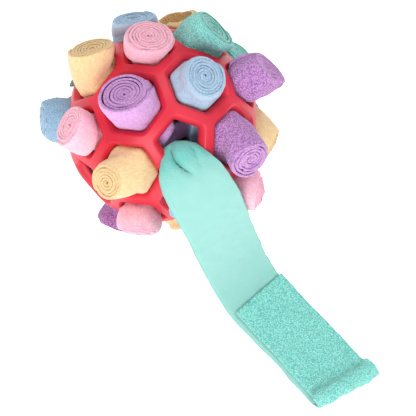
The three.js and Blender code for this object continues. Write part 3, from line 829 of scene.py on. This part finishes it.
def fleece(name, smooth_side, nub_tops, between_nubs, cut_edges):
    """Brushed fleece: one side is smooth and pale, and the other is covered in small nubs. The
    smooth side shows some of the deeper colour where it is ruffled, and more as painted shade in the
    mouth.
    """
    f = Finish(name, Roughness=0.95, Sheen_Weight=0.3, Sheen_Roughness=0.5,
               Specular_IOR_Level=0.1)
    pile = f.add("ShaderNodeAttribute", {"attribute_name": "pile"}, {}, "Fac")
    weave = f.add("ShaderNodeAttribute", {"attribute_name": "weave"}, {}, "Vector")
    ruffled = pile.held(0.0, CRUMPLED_AND_SHADED)
    cut = 1 - (pile * 2 - 1).maths("ABSOLUTE")
    fuzz = f.noise(1500, detail=3, roughness=0.7)
    streaks = f.noise(900, detail=3, roughness=0.65, place=weave)
    patches = f.noise(60, detail=3)
    nubs = 1.1 - f.cells(1100) * 1.7 + (fuzz - 0.5) * 0.8
    nubby = f.mixed(nubs.held(-0.25, 1.0), colour(between_nubs), colour(nub_tops))
    # painted shade: the smooth side turns towards the between-nubs colour where the loose strip goes
    # into the mouth, and faintly beside the rolls' cut edges; with the ruffled streaks it makes
    # brushed_and_shaded
    painted_shade = pile.held(0.27, CRUMPLED_AND_SHADED) - pile.held(CRUMPLED_AND_SHADED, 0.47)
    brushed_and_shaded = ruffled * (streaks.held(0.3, 0.7) * 0.6 + 0.15) + painted_shade * 0.45
    smooth = f.mixed(brushed_and_shaded + (fuzz - 0.5) * 0.15, colour(smooth_side), colour(between_nubs))
    base = f.mixed(pile.held(CUT, 0.7), smooth, nubby)
    edge = f.mixed(fuzz.held(0.3, 0.7) * 0.3, colour(cut_edges), colour(between_nubs))
    base = f.mixed(cut.held(0.85, 1.0), base, edge)
    shade = f.mixed(patches.held(0.4, 0.8) * 0.15, base, colour(between_nubs))
    f.set(f.shader, {"Base Color": shade})
    f.relief(nubs * pile * 0.8 + streaks * ruffled * 0.7 + fuzz * 0.25, 0.6)
    return f.material


def moulded_rubber():
    """Matt rubber with a faint bloom, as it comes out of the mould."""
    f = Finish("rubber", Roughness=0.5, Specular_IOR_Level=0.4)
    bloom = f.noise(35, detail=3)
    grain = f.noise(700, detail=2)
    base = f.mixed(bloom.held(0.3, 0.7), colour("ce1c34"), colour("dc2e42"))
    f.set(f.shader, {"Base Color": base, "Roughness": grain.held(0.2, 0.8) * 0.1 + 0.36})
    f.relief(grain * 0.25 + bloom * 0.5, 0.15)
    return f.material


# Each colour on the smooth side, on the nubs, between them, and on the cut edges.
FLEECES = {
    "purple": fleece("fleece_purple", "e4aee6", "ecb0f0", "a26cb0", "b078ba"),
    "pink": fleece("fleece_pink", "ffd0de", "f9b5c9", "f098b4", "fdb4cd"),
    "blue": fleece("fleece_blue", "c0d8ec", "a6cae4", "84accc", "84d2f6"),
    "yellow": fleece("fleece_yellow", "f8deae", "f2cc8c", "e2b274", "fce4b0"),
    "mint": fleece("fleece_mint", "98d0c8", "b0fcf2", "6ec8be", "b2fff4"),
}


# ---- The whole object ----------------------------------------------------------------------------

ball = rubber_ball()
ball.data.materials.append(moulded_rubber())
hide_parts("rubber_ball")
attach(ball, "root")

strips = [rolled_strip(name) for name in STRIPS] + [loose_strip()]
for strip in strips:
    strip.data.materials.append(FLEECES[strip.name.split("_")[1]])


# ---- Studio --------------------------------------------------------------------------------------

# Each lamp's place in metres from the ball's centre, its size and its power.
LAMPS = (
    ("key", (-0.3, -1.1, 0.9), 0.8, 13),
    ("fill", (0.8, -0.5, 0.9), 0.9, 1.5),
    ("sky", (0.15, 0.5, 1.1), 0.9, 4.5),
)
WHITE = (1, 1, 1, 1)
FLOOR_WHITE, FLOOR_GLOW = (0.93, 0.93, 0.93, 1), 0.7
DAYLIGHT = 0.56

CAMERA_AT = (0, -0.35277, 0.75652)  # in metres from the ball's centre
CAMERA_TURN = (5.2735, 68.438, 4.8566)  # degrees to the east, down and anticlockwise
CAMERA_LENS = 115.8


def studio():
    """A white floor, soft daylight all round, a broad soft light in front and two weaker ones."""
    deselect()
    bpy.ops.mesh.primitive_plane_add(size=6)
    floor = bpy.context.object
    floor.name = "floor"
    f = Finish("floor", Roughness=0.9)
    f.set(f.shader, {"Base Color": FLOOR_WHITE, "Emission Color": WHITE,
                     "Emission Strength": FLOOR_GLOW})
    floor.data.materials.append(f.material)
    world = bpy.data.worlds.new("daylight")
    bpy.context.scene.world = world
    world.use_nodes = True
    background = world.node_tree.nodes["Background"]
    background.inputs["Color"].default_value = WHITE
    background.inputs["Strength"].default_value = DAYLIGHT
    for name, place, size, power in LAMPS:
        light = bpy.data.lights.new(name, "AREA")
        light.energy, light.size = power, size
        lamp = bpy.data.objects.new(name, light)
        lamp.location = Vector(place) + CENTRE
        lamp.rotation_mode = "QUATERNION"
        lamp.rotation_quaternion = (-Vector(place)).to_track_quat("-Z", "Y")
        bpy.context.scene.collection.objects.link(lamp)


def camera():
    """Looks steeply down on the ball from in front, held a little askew."""
    azimuth, down, roll = (math.radians(a) for a in CAMERA_TURN)
    flat = math.cos(down)
    facing = Vector((math.sin(azimuth) * flat, math.cos(azimuth) * flat, -math.sin(down)))
    level = Vector((math.cos(azimuth), -math.sin(azimuth), 0))
    upright = level.cross(facing)
    right = level * math.cos(roll) + upright * math.sin(roll)
    data = bpy.data.cameras.new("camera")
    data.lens, data.sensor_width = CAMERA_LENS, 36
    data.clip_start, data.clip_end = 0.05, 20
    view = bpy.data.objects.new("camera", data)
    view.location = CENTRE + Vector(CAMERA_AT)
    view.rotation_mode = "QUATERNION"
    turn = Matrix((right, right.cross(facing), -facing)).transposed()
    view.rotation_quaternion = turn.to_quaternion()
    bpy.context.scene.collection.objects.link(view)
    bpy.context.scene.camera = view


studio()
camera()
bpy.context.scene.view_settings.view_transform = "Standard"
